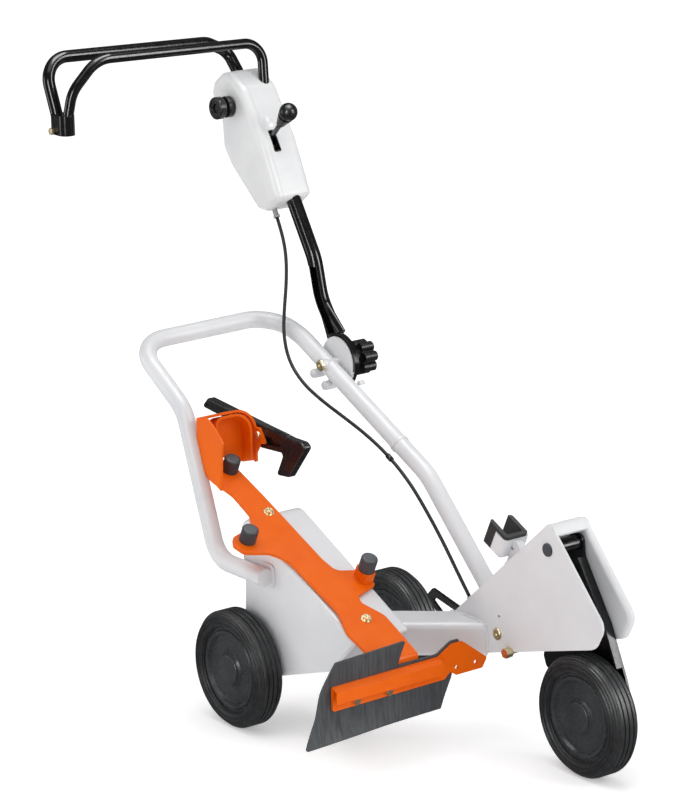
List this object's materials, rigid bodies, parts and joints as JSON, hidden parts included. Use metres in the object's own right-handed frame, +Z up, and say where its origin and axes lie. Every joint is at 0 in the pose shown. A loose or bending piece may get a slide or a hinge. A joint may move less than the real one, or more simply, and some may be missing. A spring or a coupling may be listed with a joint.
{
  "type": "guide cart for a hand-held disc cutter",
  "caption": "Three-wheeled guide cart for a hand-held disc cutter: bent tube frame, folding handle with control lever, orange saw cradle, rubber spray flap and swinging front wheel.",
  "frame": {"origin": "centre of the footprint on the floor, on the bounding box's bottom face", "axes": "+X is the driving direction, towards the front wheel; +Y is the left side; +Z is up"},
  "size_m": [1.1035, 0.497, 1.0821],
  "materials": {
    "tyre_rubber": "matt black rubber with fine grooves",
    "wheel_plastic": "dark grey moulded plastic",
    "zinc": "yellowish zinc plating",
    "white_paint": "smooth white powder coat",
    "black_paint": "glossy black paint",
    "orange_paint": "orange powder coat",
    "soft_rubber": "dark blue-grey rubber",
    "black_plastic": "black plastic with a soft shine",
    "white_plastic": "white moulded plastic",
    "lever_steel": "dark steel",
    "cable_sheath": "dark grey cable sheath",
    "grey_plastic": "grey plastic"
  },
  "bodies": {
    "chassis": {"rear_body": "white_paint", "rear_axle": "zinc", "axle_tubes": "white_paint", "cross_beam": "white_paint", "alignment_screw": "zinc", "frame_tube_right": "white_paint", "frame_tube_left": "white_paint", "nose_right_plate": "white_paint", "nose_left_plate": "white_paint", "nose_rear_wall": "white_paint", "arm_pivot_pin": "lever_steel", "nose_tie_screw": "zinc", "stop_bolt": "zinc", "cradle_rubber": "soft_rubber", "cradle_bracket": "white_paint", "cable_bracket": "black_paint", "hub_disc": "white_paint", "hub_stops": "white_paint", "tilt_bolt": "zinc", "control_cable": "cable_sheath", "lower_ferrule": "grey_plastic", "cable_clip": "white_paint", "support_plate": "orange_paint", "plate_screws": "zinc", "buffers": "soft_rubber", "clamp_hood": "orange_paint", "clamp_cup": "orange_paint", "clamp_bolt": "zinc", "flap_strip": "orange_paint", "spray_flap": "soft_rubber", "flap_bolts": "zinc"},
    "rear_wheel_right": {"rear_wheel_right_tyre": "tyre_rubber", "rear_wheel_right_hub": "wheel_plastic", "rear_wheel_right_bearing": "zinc"},
    "rear_wheel_left": {"rear_wheel_left_tyre": "tyre_rubber", "rear_wheel_left_hub": "wheel_plastic", "rear_wheel_left_bearing": "zinc"},
    "front_wheel": {"front_wheel_tyre": "tyre_rubber", "front_wheel_hub": "wheel_plastic", "front_wheel_bearing": "zinc"},
    "front_arm": {"swing_arm": "black_paint", "front_stub_axle": "zinc"},
    "lock": {"lock_plunger": "zinc"},
    "handle": {"column_foot": "black_paint", "column_tube": "black_paint", "column_plate": "zinc", "handle_bar_rear": "black_paint", "handle_bar_front": "black_paint", "handle_end_socket": "black_paint", "handle_end_bolt": "zinc", "housing_right_shell": "white_plastic", "housing_left_shell": "white_plastic", "lever_slot_guide": "black_plastic", "upper_ferrule": "grey_plastic"},
    "tilt_knob": {"star_knob": "black_plastic"},
    "hand_lever": {"control_lever": "lever_steel", "lever_ball": "black_plastic"},
    "round_knob": {"side_knob": "black_plastic"},
    "clamp_handle": {"clamp_lever": "black_plastic"}
  },
  "joints": [
    {"name": "rear_wheel_right_spin", "type": "hinge", "parent": "chassis", "child": "rear_wheel_right", "pos_m": [-0.09125, -0.12953, 0.1], "axis": [0, 1, 0], "continuous": true},
    {"name": "rear_wheel_left_spin", "type": "hinge", "parent": "chassis", "child": "rear_wheel_left", "pos_m": [-0.09125, 0.20047, 0.1], "axis": [0, 1, 0], "continuous": true},
    {"name": "front_wheel_spin", "type": "hinge", "parent": "front_arm", "child": "front_wheel", "pos_m": [0.45175, 0.16647, 0.1], "axis": [0, 1, 0], "continuous": true},
    {"name": "front_arm_swing", "type": "hinge", "parent": "chassis", "child": "front_arm", "pos_m": [0.39475, 0.16647, 0.368], "axis": [0, -1, 0], "range_deg": [0, 44]},
    {"name": "handle_tilt", "type": "hinge", "parent": "chassis", "child": "handle", "pos_m": [-0.21625, 0.19847, 0.547], "axis": [0, 1, 0], "range_deg": [-20, 40], "deforming": ["control_cable"]},
    {"name": "tilt_knob_turn", "type": "hinge", "parent": "chassis", "child": "tilt_knob", "pos_m": [-0.21625, 0.23347, 0.547], "axis": [0, 1, 0], "range_deg": [-180, 180]},
    {"name": "hand_lever_turn", "type": "hinge", "parent": "handle", "child": "hand_lever", "pos_m": [-0.42139, 0.19027, 0.88745], "axis": [0, 1, 0], "range_deg": [0, 30]},
    {"name": "round_knob_turn", "type": "hinge", "parent": "handle", "child": "round_knob", "pos_m": [-0.47471, 0.14028, 0.95915], "axis": [0, 1, 0], "range_deg": [-150, 150]},
    {"name": "clamp_lever_turn", "type": "hinge", "parent": "chassis", "child": "clamp_handle", "pos_m": [-0.18025, -0.00052, 0.461], "axis": [0, -1, 0], "range_deg": [0, 50]},
    {"name": "lock_pull", "type": "slide", "parent": "chassis", "child": "lock", "axis": [0, -1, 0], "range_m": [0, 0.003]}
  ],
  "couplings": [
    {"joint": "lock_pull", "follows": "hand_lever_turn", "m_per_rad": 0.005724}
  ]
}
